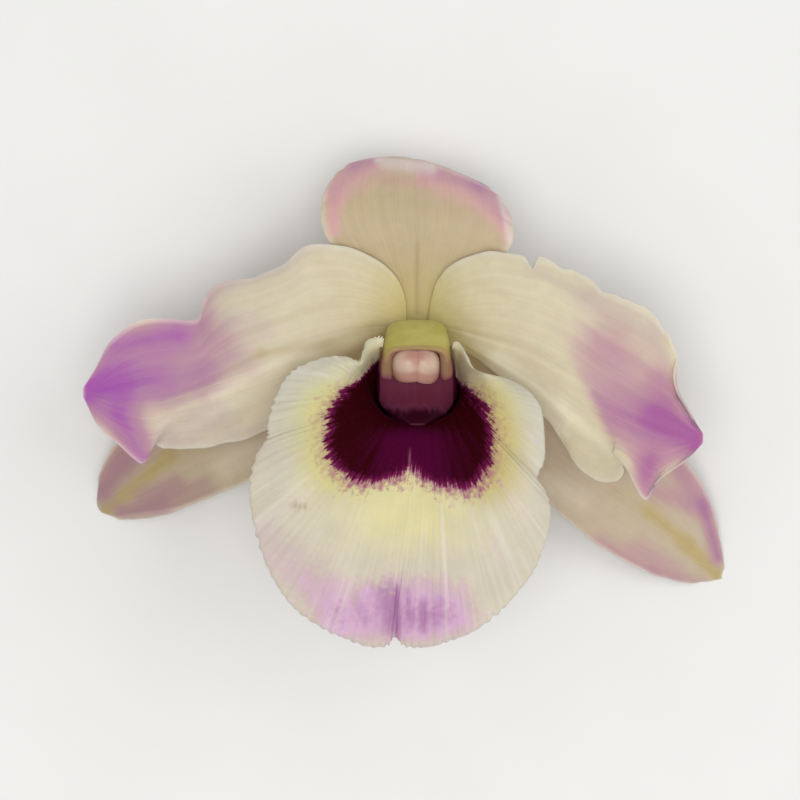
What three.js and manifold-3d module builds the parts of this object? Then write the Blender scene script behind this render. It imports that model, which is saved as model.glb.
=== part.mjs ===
import * as THREE from 'three';
import { mergeVertices } from 'three/addons/utils/BufferGeometryUtils.js';
import Module from 'manifold-3d';

// One bloom of a noble dendrobium orchid, picked with its stalk and lying on its back.
// Millimetres. Every point below is in the flower's own frame: the origin is at the root of the
// column, +Y runs up the dorsal sepal and +Z comes straight out of the flower's face.

const flowerAt = [0.8, 6.85, 15];      // where the flower's frame stands in the part's frame
const floorZ = -flowerAt[2];          // the surface that three sepal tips rest on
const bladeThickness = 0.65;
const seat = 0.3;                     // clearance left between two pieces that touch
const columnRoot = [-0.15, 0.3, -3.0];
const columnSpan = [-1.2, 8.6];         // along the column, from its root to its front
const columnLean = 23;                // degrees that the column nods towards the lip
const receptacleAt = [0, 0.6];        // x and y of the middle of the receptacle
const stalkSides = 12;

// The three edges of each blade, from its root to its tip.
const blades = {
  dorsal_sepal: {
    segments: [20, 8],
    midrib: [[-0.1, 2.4, -4.6], [-0.1, 5, -3.2], [-0.1, 8.5, -1.6], [-0.2, 12, -0.9], [-0.3, 15.3, -1.9],
      [-0.4, 17.6, -4.6], [-0.5, 18.5, -8.2], [-0.5, 17.9, -12], [-0.4, 16.3, -15.1]],
    upper: [[-1.9, 1.6, -4.6], [-3.6, 3.7, -3.6], [-7.2, 6.6, -1.9], [-9.8, 10.1, -0.9], [-10.2, 13.6, -1.8],
      [-8.9, 16.5, -4.2], [-6.4, 18.1, -7.6], [-3.4, 18.1, -11.6], [-1.1, 16.5, -15]],
    lower: [[1.8, 1.6, -4.6], [3.6, 3.6, -3.6], [7.4, 6, -1.9], [9.8, 8.9, -0.9], [10, 11.4, -1.8],
      [9, 13.9, -4.4], [6.5, 15.9, -8], [3.1, 17.1, -12], [0.3, 16.2, -15]],
  },
  lateral_sepal_left: {
    segments: [17, 8],
    midrib: [[-1.6, -3.9, -6.3], [-5.1, -4.8, -5.8], [-10.2, -6.2, -5.8], [-16, -8.4, -6.4],
      [-21.5, -10.9, -7.8], [-26.6, -13.5, -9.8], [-31.3, -16.6, -12.5], [-35.1, -19.1, -14.95]],
    upper: [[-1.7, -0.5, -5.1], [-4.9, -0.6, -4.5], [-10.2, -1.5, -4.7], [-16, -3.3, -5.2],
      [-22, -5.8, -6.6], [-27.8, -8.6, -8.6], [-32.3, -11.6, -11], [-34.6, -15, -13.3], [-35.2, -18.4, -14.9]],
    lower: [[-1.5, -8.3, -9.5], [-3.8, -8.9, -8.6], [-8.9, -11.2, -7.8], [-13.7, -14, -8],
      [-18.3, -16.2, -9], [-22.8, -18.1, -10.8], [-27.6, -19.9, -12.8], [-31.9, -20.5, -14.4],
      [-34.7, -19.7, -14.95]],
  },
  lateral_sepal_right: {
    segments: [17, 8],
    midrib: [[1.5, -3.9, -6.3], [4.7, -5.6, -5.8], [9.3, -8.7, -5.8], [14.9, -12.7, -6.4],
      [20.3, -16.4, -7.8], [25.2, -19.7, -9.8], [29.7, -23.3, -12.5], [33.5, -26.5, -14.95]],
    upper: [[1.6, -0.5, -5.1], [4.7, -0.9, -4.5], [10, -2.4, -4.7], [16.3, -5.4, -5.2], [21.9, -8.6, -6.6],
      [26.6, -11.7, -8.6], [30.4, -15.6, -11], [32.7, -20.5, -13.3], [33.8, -25.8, -14.9]],
    lower: [[1.5, -8.3, -9.5], [3.7, -9.3, -8.6], [8, -12.7, -7.8], [12.1, -16.5, -8.2], [16.3, -20.4, -9.4],
      [20.9, -23.9, -11.2], [25.4, -26.3, -13], [30.1, -27.4, -14.5], [33.5, -27, -14.95]],
  },
  petal_left: {
    segments: [32, 8],
    midrib: [[-1.4, 0.2, -3.6], [-3.4, 0.5, -2.2], [-6.9, 0.1, 0.2], [-11.1, -1, 1.8], [-15.4, -2.4, 2.6],
      [-19.8, -4.1, 2.6], [-24, -6, 2.2], [-28, -6.7, 2], [-31.9, -6.9, 2], [-35, -6.5, 1.6]],
    upper: [[-1.3, 1.3, -3.6], [-1.3, 3.1, -3], [-2.1, 5.3, -2], [-4.1, 7.3, -0.9], [-7.7, 8.8, -0.2],
      [-11.8, 8.8, 0.3], [-14.2, 6.8, 0.2], [-17.6, 5.6, -0.2], [-21.1, 4.9, -0.6], [-22.5, 3.2, 0.2],
      [-23.1, 1.1, 1.6], [-26, 1.1, 2.8], [-29.1, 0.9, 3.3], [-32, -1.2, 2.8], [-33.8, -4.2, 1.9],
      [-35, -6.1, 1.6]],
    lower: [[-1.4, -1.1, -3.6], [-3.2, -1.8, -2.4], [-6.1, -3.6, -1.2], [-9.7, -6.1, -1],
      [-13.7, -9.1, -1.4], [-17.9, -11.3, -2], [-22.4, -12.4, -1.8], [-26.4, -12.4, -1.4],
      [-27.9, -12.2, 0.4], [-28.7, -14, 2.6], [-30.8, -12.4, 3], [-33.4, -10, 2.4], [-35, -7, 1.6]],
  },
  petal_right: {
    segments: [38, 8],
    midrib: [[1.3, 0.2, -3.6], [3.3, 0.3, -2.2], [6.9, -0.7, 0.2], [11.1, -2, 1.8], [15, -4.1, 2.6],
      [18.7, -6.6, 2.6], [22.3, -8.7, 2.2], [25.4, -10.1, 2], [28, -10.9, 2], [29.8, -11.3, 1.6]],
    upper: [[1.2, 1.3, -3.6], [1.4, 3.2, -3], [2.2, 5.5, -2], [4, 7.2, -0.9], [7.4, 8.3, -0.2],
      [10.6, 7.9, 0.3], [13.8, 7.2, 0.4], [17.2, 5.9, 0.4], [20.3, 3.9, 0.4], [23.6, 2.5, 0.5],
      [25.8, 0.3, 0.7], [26.9, -2.5, 1.4], [26.7, -5.6, 2.3], [28.4, -8.8, 2.2], [29.8, -10.9, 1.6]],
    lower: [[1.3, -1.1, -3.6], [3.2, -1.6, -2.4], [6.1, -2.9, -1], [9.5, -5.5, -0.8], [12.9, -8.6, -1.2],
      [15.4, -11.9, -1.8], [17.8, -15.2, -2.4], [20.6, -16.1, -2.6], [21.7, -14.8, -0.8], [20.5, -13.1, 1.4],
      [21.6, -14.4, 2.6], [23.5, -17.7, 3.2], [24.8, -15.9, 3], [27.9, -13.7, 2.3], [29.8, -11.8, 1.6]],
    frill: { from: 0.32, to: 0.74, waves: 5, depth: 0.3 },
  },
};

// The lip: arcs round its tube, from the claw to the throat, and the outline of its open blade.
const lipArcs = [   // middle x, y, radius across, radius down, half angle in degrees, z, rise of z to the sides
  [-0.1, -8.2, 2.2, 1.6, 70, -6.9, 0.3],
  [-0.1, -7.2, 3.8, 2.95, 100, -5.4, 0.4],
  [-0.1, -6.3, 4.7, 4, 118, -2.6, 0.4],
  [-0.15, -5.8, 5.05, 4.5, 129, 0.8, 0.3],
  [-0.2, -5.6, 5.7, 5.1, 135, 4.4, -0.2],
];
const lipSwell = [[0.3, 3.0], [0.65, 2.6]];   // share of the way to the outline, and how far it bulges there
const lipOutline = [
  [-4, -2.1, 4.3], [-3.8, -1.1, 5], [-4.4, -1, 5.5], [-5.4, -1.3, 6.2], [-5.7, -2.2, 6.8],
  [-6.1, -3.3, 7.2], [-7.4, -2.9, 7.6], [-9.7, -3.1, 7.4], [-12.2, -4, 7.2], [-13.8, -5.4, 7.4],
  [-14.9, -7.6, 7.7], [-15.4, -9.8, 7.2], [-15.4, -11.2, 6.8], [-16.6, -13, 7.8], [-17.2, -16, 8.2],
  [-17, -19.2, 8.4], [-16.1, -22.5, 8.6], [-14.6, -25.8, 8.7], [-12.7, -28.6, 8.3], [-10.2, -30.5, 7.8],
  [-7.8, -31.7, 7.4], [-5.4, -32.6, 6.9], [-3.3, -32.5, 6.6], [-2.4, -31.6, 6.7], [-1.3, -32.6, 6.8],
  [1, -32.7, 7.1], [3.2, -32, 7.6], [5.6, -31, 8], [8.1, -29.1, 8.4], [10.2, -26.8, 8.9], [11.9, -24.5, 8.9],
  [13, -21.4, 8.7], [13.4, -18.6, 8.5], [12.9, -16.6, 7.9], [12.1, -15.4, 7.1], [13, -13.3, 7.2],
  [12.9, -10.4, 7.7], [12.3, -7.8, 7.4], [10.6, -5.8, 6.8], [8.4, -4.7, 6.7], [6.4, -4.7, 7.9],
  [5.4, -4.1, 7.1], [4.9, -2.6, 6.4], [4.3, -1.5, 5.8], [3.9, -1.4, 5], [3.8, -2.3, 4.2],
];
const lipSegments = [15, 72];
const lipFrill = { waves: 18, depth: 0.3 };

// Half width, height of the back and depth of the underside of the column, at even steps.
const columnProfile = [[1.7, 0.35, 1.3], [2.7, 1.0, 1.6], [3.15, 1.75, 2.0], [3.3, 2.3, 2.3], [3.4, 2.4, 2.5],
  [3.5, 2.05, 2.6], [3.55, 1.6, 2.4]];
const channelProfile = [[0.8, 0.1, 4], [2.0, 0.5, 4], [2.36, 0.8, 4], [2.4, 0.9, 4], [2.4, 0.9, 4]];
const channelSpan = [3.2, 10];        // along the column
// The foot that runs from the root of the column to the lip, and its half width and half thickness.
const footPath = [[0, -0.6, -3.9], [-0.05, -3.2, -4.6], [-0.1, -5.6, -4.7], [-0.1, -7.6, -5.3], [-0.05, -8.6, -7.1]];
const footHalf = [[2.6, 1.3], [3.3, 2.6], [3.65, 3.1], [3.0, 2.0], [1.6, 0.8]];
const capAt = [-0.08, -0.75, 8.55];   // across, towards the back, along the column
const capHalf = [2.3, 1.6, 1.65];
const chamberAt = [-0.1, -1.35, 7.6];
const chamberHalf = [1.75, 1.15, 1.45];
const polliniaHalf = [0.72, 0.62, 0.95];

const receptacle = [[1.5, -6.1], [2.4, -5.6], [2.5, -5.0], [2.2, -4.6], [1.5, -4.25]];   // radius, z
const stalkPath = [[0, 0.6, -5.7], [0, 0.9, -8.2], [0, 0.4, -10.9], [0, -2.1, -13.0], [0.2, -6.4, -13.6],
  [0.6, -13, -13.65], [0.4, -21, -13.65], [-0.4, -29.4, -13.6]];
const stalkRadius = [1.5, 1.62, 1.5, 1.25, 1.12, 1.08, 1.08, 1.2];

const wasm = await Module();
wasm.setup();

const vector = (p) => new THREE.Vector3(...p);
const through = (points) => new THREE.CatmullRomCurve3(points.map(vector), false, 'catmullrom', 0.5);

function closedGeometry(points, triangles) {
  const geometry = new THREE.BufferGeometry();
  geometry.setAttribute('position', new THREE.Float32BufferAttribute(points.flatMap((p) => p.toArray()), 3));
  geometry.setIndex(triangles.flat());
  return geometry;
}

// A blade of even thickness on both sides of surface(u, v), with u from 0 to 1 and v from -1 to 1.
function blade(surface, [alongSteps, acrossSteps]) {
  const step = 1e-3;
  const front = [];
  const back = [];
  for (let i = 0; i <= alongSteps; i++) {
    for (let j = 0; j <= acrossSteps; j++) {
      const u = i / alongSteps;
      const v = 2 * j / acrossSteps - 1;
      const du = surface(Math.min(u + step, 1), v).sub(surface(Math.max(u - step, 0), v));
      const dv = surface(u, Math.min(v + step, 1)).sub(surface(u, Math.max(v - step, -1)));
      const half = du.cross(dv).setLength(bladeThickness / 2);
      const middle = surface(u, v);
      front.push(middle.clone().add(half));
      back.push(middle.sub(half));
    }
  }
  const at = (i, j) => i * (acrossSteps + 1) + j;
  const shift = front.length;
  const triangles = [];
  for (let i = 0; i < alongSteps; i++) {
    for (let j = 0; j < acrossSteps; j++) {
      const [a, b, c, d] = [at(i, j), at(i + 1, j), at(i + 1, j + 1), at(i, j + 1)];
      triangles.push([a, b, c], [a, c, d], [a + shift, c + shift, b + shift], [a + shift, d + shift, c + shift]);
    }
  }
  const rim = [];
  for (let i = 0; i < alongSteps; i++) rim.push(at(i, 0));
  for (let j = 0; j < acrossSteps; j++) rim.push(at(alongSteps, j));
  for (let i = alongSteps; i > 0; i--) rim.push(at(i, acrossSteps));
  for (let j = acrossSteps; j > 0; j--) rim.push(at(0, j));
  rim.forEach((a, k) => {
    const b = rim[(k + 1) % rim.length];
    triangles.push([a + shift, b + shift, b], [a + shift, b, a]);
  });
  return closedGeometry(front.concat(back), triangles);
}

// A solid through rings of points, with ring(t, angle) for t from 0 to 1 and flat ends.
function loft(ring, steps, sides) {
  const points = [];
  const triangles = [];
  for (let i = 0; i <= steps; i++) {
    for (let k = 0; k < sides; k++) points.push(ring(i / steps, 2 * Math.PI * k / sides));
  }
  const at = (i, k) => i * sides + k % sides;
  for (let i = 0; i < steps; i++) {
    for (let k = 0; k < sides; k++) {
      const [a, b, c, d] = [at(i, k), at(i, k + 1), at(i + 1, k + 1), at(i + 1, k)];
      triangles.push([a, b, c], [a, c, d]);
    }
  }
  for (let k = 1; k < sides - 1; k++) {
    triangles.push([at(0, 0), at(0, k + 1), at(0, k)], [at(steps, 0), at(steps, k), at(steps, k + 1)]);
  }
  return closedGeometry(points, triangles);
}

function solid(geometry) {
  geometry.deleteAttribute('normal');
  geometry.deleteAttribute('uv');
  const merged = mergeVertices(geometry, 1e-5);
  return new wasm.Manifold(new wasm.Mesh({
    numProp: 3,
    vertProperties: new Float32Array(merged.attributes.position.array),
    triVerts: new Uint32Array(merged.index.array),
  }));
}

function named(name, body, colour, roughness) {
  const { vertProperties, triVerts } = body.getMesh();
  const geometry = new THREE.BufferGeometry();
  geometry.setAttribute('position', new THREE.BufferAttribute(vertProperties, 3));
  geometry.setIndex(new THREE.BufferAttribute(triVerts, 1));
  geometry.computeVertexNormals();
  const mesh = new THREE.Mesh(geometry, new THREE.MeshStandardMaterial({ color: colour, roughness }));
  mesh.name = name;
  return mesh;
}

// A point given across, towards the back of, and along the leaning column.
function onColumn(across, back, along) {
  const lean = THREE.MathUtils.degToRad(columnLean);
  return new THREE.Vector3(
    columnRoot[0] + across,
    columnRoot[1] + back * Math.cos(lean) - along * Math.sin(lean),
    columnRoot[2] + back * Math.sin(lean) + along * Math.cos(lean),
  );
}

const squared = (x) => Math.sign(x) * Math.abs(x) ** 0.8;   // rounds a circle out towards a box

// A squarish solid along the column, from profile rows of half width, back and underside.
function columnLoft(profile, from, to, grow, steps, sides) {
  const sizes = through(profile);
  return solid(loft((t, angle) => {
    const [half, back, under] = sizes.getPoint(t).addScalar(grow).toArray();
    const up = squared(Math.sin(angle));
    return onColumn(half * squared(Math.cos(angle)), up * (up > 0 ? back : under), from + (to - from) * t);
  }, steps, sides));
}

// An egg along the column; dent draws its middle in, which parts it into two lobes.
function columnEgg([across, back, along], [halfAcross, halfBack, halfAlong], dent, [steps, sides]) {
  return solid(loft((t, angle) => {
    const reach = 0.06 + 0.88 * t;
    const size = Math.sin(Math.PI * reach);
    const x = halfAcross * size * Math.cos(angle);
    const part = 1 - dent * Math.exp(-((x / 0.5) ** 2));
    return onColumn(
      across + x,
      back + halfBack * size * Math.sin(angle) * part,
      along - halfAlong * Math.cos(Math.PI * reach) * part,
    );
  }, steps, sides));
}

function receptacleBody(grow) {
  const last = receptacle.length - 1;
  return solid(loft((t, angle) => {
    const [radius, z] = receptacle[Math.round(t * last)];
    const ends = t === 0 ? -grow : t === 1 ? grow : 0;
    return new THREE.Vector3(
      receptacleAt[0] + (radius + grow) * Math.cos(angle),
      receptacleAt[1] + (radius + grow) * Math.sin(angle),
      z + ends,
    );
  }, last, 16));
}

// The broad foot of the column, which carries the lip at its end and the side sepals along its sides.
function footBody(grow) {
  const path = through(footPath);
  const sizes = through(footHalf.map(([wide, thick]) => [wide, thick, 0]));
  return solid(loft((t, angle) => {
    const [halfWide, halfThick] = sizes.getPoint(t).toArray();
    const ahead = path.getTangent(t);
    const thick = new THREE.Vector3(0, -ahead.z, ahead.y);
    const end = t === 1 ? grow : 0;
    return path.getPoint(t)
      .add(new THREE.Vector3((halfWide + grow) * squared(Math.cos(angle)), 0, 0))
      .addScaledVector(thick, -(halfThick + grow) * squared(Math.sin(angle)))
      .addScaledVector(ahead, end);
  }, 10, 16));
}

// The ovary and its stalk: a round stem with three shallow furrows, which bends to lie flat.
function stalkBody() {
  const path = through(stalkPath);
  const girth = through(stalkRadius.map((radius) => [radius, 0, 0]));
  return solid(loft((t, angle) => {
    const ahead = path.getTangent(t);
    const side = new THREE.Vector3(1, 0, 0).addScaledVector(ahead, -ahead.x).normalize();
    const up = ahead.clone().cross(side);
    const radius = girth.getPoint(t).x * (1 + 0.06 * Math.cos(3 * angle));
    return path.getPoint(t)
      .addScaledVector(side, radius * Math.cos(angle))
      .addScaledVector(up, radius * Math.sin(angle));
  }, 24, stalkSides));
}

// A parabola from one margin over the midrib to the other, with small waves along one margin.
function bladeSurface({ midrib, upper, lower, frill }) {
  const [middle, high, low] = [midrib, upper, lower].map(through);
  return (u, v) => {
    const [m, a, b] = [middle, high, low].map((edge) => edge.getPoint(u));
    const point = m.clone()
      .addScaledVector(a.clone().sub(b), v / 2)
      .addScaledVector(a.clone().add(b).divideScalar(2).sub(m), v * v);
    if (frill && v > 0 && u > frill.from && u < frill.to) {
      const share = (u - frill.from) / (frill.to - frill.from);
      const wave = frill.depth * Math.sin(Math.PI * share) * Math.sin(2 * Math.PI * frill.waves * share);
      point.addScaledVector(a.clone().sub(m).normalize(), wave * v ** 6);
      point.z += wave * v ** 4;
    }
    return point;
  };
}

// The lip: a smooth skin over its arcs, two swollen rings of its bowl and the frilled outline.
function lipSurface(t, v) {
  const outline = through(lipOutline).getPoint((v + 1) / 2);
  const rings = lipArcs.map(([x, y, across, down, half, z, rise]) => {
    const turn = THREE.MathUtils.degToRad(half) * v;
    return new THREE.Vector3(x + across * Math.sin(turn), y - down * Math.cos(turn), z + rise * (1 - Math.cos(turn)));
  });
  const throat = rings[rings.length - 1];
  for (const [share, height] of lipSwell) {
    const ring = throat.clone().lerp(outline, share);
    ring.z += height * (1 - Math.abs(v) ** 5);
    rings.push(ring);
  }
  outline.z += lipFrill.depth * Math.sin(Math.PI * lipFrill.waves * (v + 1));
  rings.push(outline);
  return new THREE.CatmullRomCurve3(rings, false, 'catmullrom', 0.5).getPoint(t);
}

const receptacleRoom = receptacleBody(seat);
const columnRoom = columnLoft(columnProfile, columnSpan[0] - seat, columnSpan[1] + seat, seat, 12, 24);
const footRoom = footBody(seat);
const floorBlock = new THREE.BoxGeometry(100, 100, 10);
floorBlock.translate(0, 0, floorZ - 5);
const floorRoom = solid(floorBlock);

const flower = new THREE.Group();
flower.position.set(...flowerAt);

flower.add(named('pedicel_ovary', stalkBody().add(receptacleBody(0)), 0x9aa05c, 0.5));

for (const [name, shape] of Object.entries(blades)) {
  const body = solid(blade(bladeSurface(shape), shape.segments))
    .subtract(receptacleRoom)
    .subtract(columnRoom)
    .subtract(footRoom)
    .subtract(floorRoom);
  flower.add(named(name, body, name.startsWith('petal') ? 0xd8d0b4 : 0xcbb9a4, 0.55));
}

const lip = solid(blade(lipSurface, lipSegments)).subtract(columnRoom).subtract(footRoom);
flower.add(named('lip', lip, 0xe2dcb8, 0.6));

const column = columnLoft(columnProfile, ...columnSpan, 0, 12, 24)
  .subtract(columnLoft(channelProfile, ...channelSpan, 0, 5, 16))
  .subtract(columnEgg(capAt, capHalf.map((half) => half + seat), 0, [8, 16]))
  .add(footBody(0))
  .subtract(receptacleRoom);
flower.add(named('column', column, 0xb2a855, 0.45));

const cap = columnEgg(capAt, capHalf, 0.12, [8, 20]).subtract(columnEgg(chamberAt, chamberHalf, 0, [8, 12]));
flower.add(named('anther_cap', cap, 0xd9b4a0, 0.35));

const pollinia = [-1, 1].map((side) => columnEgg(
  [chamberAt[0] + side * 0.6, chamberAt[1], chamberAt[2] + 0.1], polliniaHalf, 0, [6, 8],
));
flower.add(named('pollinia', pollinia[0].add(pollinia[1]), 0xd9b13a, 0.4));

export default flower;
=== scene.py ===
import math
import bpy
import numpy as np
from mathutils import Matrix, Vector


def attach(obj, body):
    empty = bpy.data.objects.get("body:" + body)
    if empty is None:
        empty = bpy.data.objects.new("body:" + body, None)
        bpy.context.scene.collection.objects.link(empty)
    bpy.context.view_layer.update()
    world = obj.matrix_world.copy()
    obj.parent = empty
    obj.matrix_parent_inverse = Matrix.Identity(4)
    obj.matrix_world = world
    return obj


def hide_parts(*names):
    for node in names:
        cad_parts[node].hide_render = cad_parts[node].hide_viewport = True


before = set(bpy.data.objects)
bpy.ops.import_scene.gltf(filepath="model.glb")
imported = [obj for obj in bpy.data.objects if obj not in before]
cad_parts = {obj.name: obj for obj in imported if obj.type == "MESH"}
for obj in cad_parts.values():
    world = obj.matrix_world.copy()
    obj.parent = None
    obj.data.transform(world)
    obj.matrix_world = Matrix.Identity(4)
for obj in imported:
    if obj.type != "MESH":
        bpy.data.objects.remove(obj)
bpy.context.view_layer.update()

rng = np.random.default_rng(31)

# Points below are millimetres in the flower's own frame, as in the solids: origin at the root of the
# column, +Y up the dorsal sepal, +Z out of the face. This is where that frame stands in the part's.
flower = {
    "at": np.array([0.8, 6.85, 15.0]),
    "floor": -15.0, "restingSkin": 0.14,
    "columnRoot": np.array([-0.15, 0.3, -3.0]),
    "columnLean": math.radians(23),
}


def spline(points, t):
    # Uniform Catmull-Rom through the rows of points, whose ends run on straight; t from 0 to 1
    p = np.asarray(points, float)
    ends = np.vstack([2 * p[0] - p[1], p, 2 * p[-1] - p[-2]])
    t = np.clip(np.asarray(t, float), 0, 1) * (len(p) - 1)
    i = np.minimum(t.astype(int), len(p) - 2)
    w = (t - i)[..., None]
    a, b, c, d = (ends[i + k] for k in range(4))
    return b + 0.5 * w * (c - a + w * (2 * a - 5 * b + 4 * c - d + w * (3 * (b - c) + d - a)))


def step(x, low, high):
    # Smooth step: 0 below low, 1 above high
    s = np.clip((x - low) / (high - low), 0, 1)
    return s * s * (3 - 2 * s)


def bump(x, middle, width):
    # Bell curve of height 1
    return np.exp(-((x - middle) / width) ** 2)


def hum(x, waves, seed):
    # A repeatable wandering curve between about -1 and 1: sines of so many waves, each with its own phase
    phases = np.random.default_rng(seed).uniform(0, 2 * np.pi, len(waves))
    total = sum(np.sin(2 * np.pi * k * x + p) for k, p in zip(waves, phases))
    return total / np.sqrt(len(waves))


def unit(vectors):
    # Vectors divided by their lengths
    return vectors / (np.linalg.norm(vectors, axis=-1, keepdims=True) + 1e-12)


def normals(p):
    # Unit normals of a grid of points: the cross product of its two directions
    return unit(np.cross(np.gradient(p, axis=0), np.gradient(p, axis=1)))


def tapered(*ends):
    # The share of its thickness that a skin has: 1 inside, next to nothing where an x comes to 1 or -1
    share = 1
    for x, power in ends:
        share = share * np.sqrt(np.clip(1 - np.abs(x) ** power, 0, 1))
    return 0.06 + 0.94 * share


def grid(along, across, edge=0.5):
    # u from 0 to 1 and v from -1 to 1, drawn closer together towards the two margins
    u = np.linspace(0, 1, along)
    s = np.linspace(-1, 1, across)
    v = (1 - edge) * s + edge * np.sin(np.pi * s / 2)
    return np.meshgrid(u, v, indexing="ij")


def addMesh(name, points, faces, material, uv=None, values=None):
    # Points in the flower's frame and arrays of quads and triangles make one piece that rides on the root
    mesh = bpy.data.meshes.new(name)
    place = (points.reshape(-1, 3) + flower["at"]) / 1000
    mesh.from_pydata(place.tolist(), [], [face for part in faces for face in part.tolist()])
    mesh.shade_smooth()
    if uv is not None:
        layer = mesh.uv_layers.new(name="surfaceUV")
        corners = np.empty(len(mesh.loops), np.int32)
        mesh.loops.foreach_get("vertex_index", corners)
        layer.data.foreach_set("uv", uv.reshape(-1, 2)[corners].astype(np.float32).ravel())
    for key, field in (values or {}).items():
        stored = mesh.attributes.new(key, "FLOAT", "POINT")
        stored.data.foreach_set("value", field.ravel().astype(np.float32))
    mesh.materials.append(material)
    piece = bpy.data.objects.new(name, mesh)
    bpy.context.collection.objects.link(piece)
    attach(piece, "root")
    return piece


def shell(name, middle, thickness, material, uv, values):
    # A closed skin: the middle surface moved out along its normal on both sides, stitched round the rim
    half = normals(middle) * thickness[..., None] / 2
    front, back = middle + half, middle - half
    front[..., 2] = np.maximum(front[..., 2], flower["floor"] + flower["restingSkin"])
    back[..., 2] = np.maximum(back[..., 2], flower["floor"])
    rows, columns = thickness.shape
    index = np.arange(rows * columns).reshape(rows, columns)
    a, b, c, d = index[:-1, :-1], index[1:, :-1], index[1:, 1:], index[:-1, 1:]
    quads = np.stack([a, b, c, d], -1).reshape(-1, 4)
    rim = np.concatenate([index[:-1, 0], index[-1, :-1], index[:0:-1, -1], index[0, :0:-1]])
    after = np.roll(rim, -1)
    shift = rows * columns
    sides = np.stack([rim + shift, after + shift, after, rim], -1)
    faces = [quads, quads[:, ::-1] + shift, sides]
    both = {key: np.stack([field, field]) for key, field in values.items()}
    under = float(half[rows // 2, columns // 2, 2] < 0)
    both["under"] = np.stack([np.full(thickness.shape, under), np.full(thickness.shape, 1 - under)])
    return addMesh(name, np.stack([front, back]), faces, material, np.stack([uv, uv]), both)


def loft(rings):
    # Quads round a stack of rings; each end is zipped shut by joining point k to its mirror across the ring
    steps, sides = rings.shape[:2]
    index = np.arange(steps * sides).reshape(steps, sides)
    after = np.roll(index, -1, axis=1)
    walls = np.stack([index[:-1], after[:-1], after[1:], index[1:]], -1).reshape(-1, 4)
    k = np.arange(1, sides // 2 - 1)
    zipper = np.stack([k, k + 1, sides - k - 1, sides - k], -1)
    corners = np.array([[0, 1, sides - 1], [sides // 2 - 1, sides // 2, sides // 2 + 1]])
    top = (steps - 1) * sides
    return rings.reshape(-1, 3), [walls, zipper[:, ::-1], corners[:, ::-1], zipper + top, corners + top]


canvas = {}  # the node tree of the newest material, which all of the following add to


def feed(socket, value):
    # Links a node's output or the attribute of that name, or sets a plain number or colour
    if isinstance(value, str):
        value = node("Attribute", {}, attribute_name=value)["Fac"]
    if isinstance(value, bpy.types.NodeSocket):
        canvas["tree"].links.new(value, socket)
    elif isinstance(value, tuple):
        socket.default_value[:3] = value
    else:
        socket.default_value = value


def node(kind, inputs, **settings):
    # The outputs of a new node, whose inputs are fed by name or number
    n = canvas["tree"].nodes.new("ShaderNode" + kind)
    for key, value in settings.items():
        setattr(n, key, value)
    for key, value in inputs.items():
        feed(n.inputs[key], value)
    return n.outputs


def newMaterial(name, colour, rough, **fixed):
    # A principled material with its plain numbers on the shader's own sockets
    material = bpy.data.materials.new(name)
    material.use_nodes = True
    canvas["tree"] = material.node_tree
    for socket, value in {"Base Color": colour, "Roughness": rough, **fixed}.items():
        feed(material.node_tree.nodes["Principled BSDF"].inputs[socket], value)
    return material


def tissue(name, rough, depth, gloss):
    # Living petal: light goes in and comes out nearby
    return newMaterial(
        name, (0.8, 0.75, 0.6), rough,
        **{"Subsurface Weight": depth, "Subsurface Radius": (1.0, 0.72, 0.5), "Subsurface Scale": 0.0012,
           "Specular IOR Level": gloss},
    )


def dress(tint, height=None, strength=1.0, distance=0.0, rough=None):
    # Feeds the shader its colour, and its relief and roughness where they vary
    shader = canvas["tree"].nodes["Principled BSDF"].inputs
    feed(shader["Base Color"], tint)
    if height is not None:
        relief = {"Height": height, "Strength": strength, "Distance": distance}
        feed(shader["Normal"], node("Bump", relief)["Normal"])
    if rough is not None:
        feed(shader["Roughness"], rough)


def cloud(size, detail=2.0, rough=0.5):
    # Noise: waves to the metre, one number for all ways or three; two numbers count waves across the UVs
    size = size if isinstance(size, tuple) else (size,) * 3
    if len(size) == 2:
        where = node("UVMap", {}, uv_map="surfaceUV")["UV"]
    else:
        where = node("TexCoord", {})["Object"]
    vector = node("Mapping", {"Vector": where, "Scale": (*size, 1.0)[:3]})["Vector"]
    return node("TexNoise", {"Vector": vector, "Scale": 1.0, "Detail": detail, "Roughness": rough})["Fac"]


def plus(total, *parts):
    # A value with each part added, times its weight
    for part, weight in parts:
        total = node("Math", {0: part, 1: weight, 2: total}, operation="MULTIPLY_ADD")[0]
    return total


def times(a, b):
    # The product of two values
    return plus(0.0, (a, b))


def swing(pattern):
    # A pattern between 0 and 1 as its swing about the middle
    return plus(-0.5, (pattern, 1.0))


def smooth(value, low, high):
    # 0 below low and 1 above high; low may be the larger one
    ends = {"From Min": low, "From Max": high}
    if low > high:
        ends = {"From Min": high, "From Max": low, "To Min": 1, "To Max": 0}
    return node("MapRange", {"Value": value, **ends}, interpolation_type="SMOOTHSTEP")["Result"]


def blend(share, a, b, how="MIX"):
    # Colour a where share is 0, colour b where it is 1
    return node("Mix", {0: share, 6: a, 7: b}, data_type="RGBA", blend_type=how)[2]


def coat(tint, *layers):
    # Lays colours over one another: each begins to show where its value passes low and covers from high on
    for value, low, high, colour in layers:
        tint = blend(smooth(value, low, high), tint, colour)
    return tint


def tone(tint, *patterns):
    # Lightens and darkens a colour by each pattern, by plus and minus its amount
    for pattern, amount in patterns:
        shade = coat((1 - amount,) * 3, (pattern, 0.3, 0.7, (1 + amount,) * 3))
        tint = blend(1.0, tint, shade, "MULTIPLY")
    return tint


# Thickness of the blades and heights of their relief
bladeForm = {"thickness": 0.46, "furrow": 0.17, "veins": 0.01, "pleats": 0.035, "ripple": 0.12}

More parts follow.
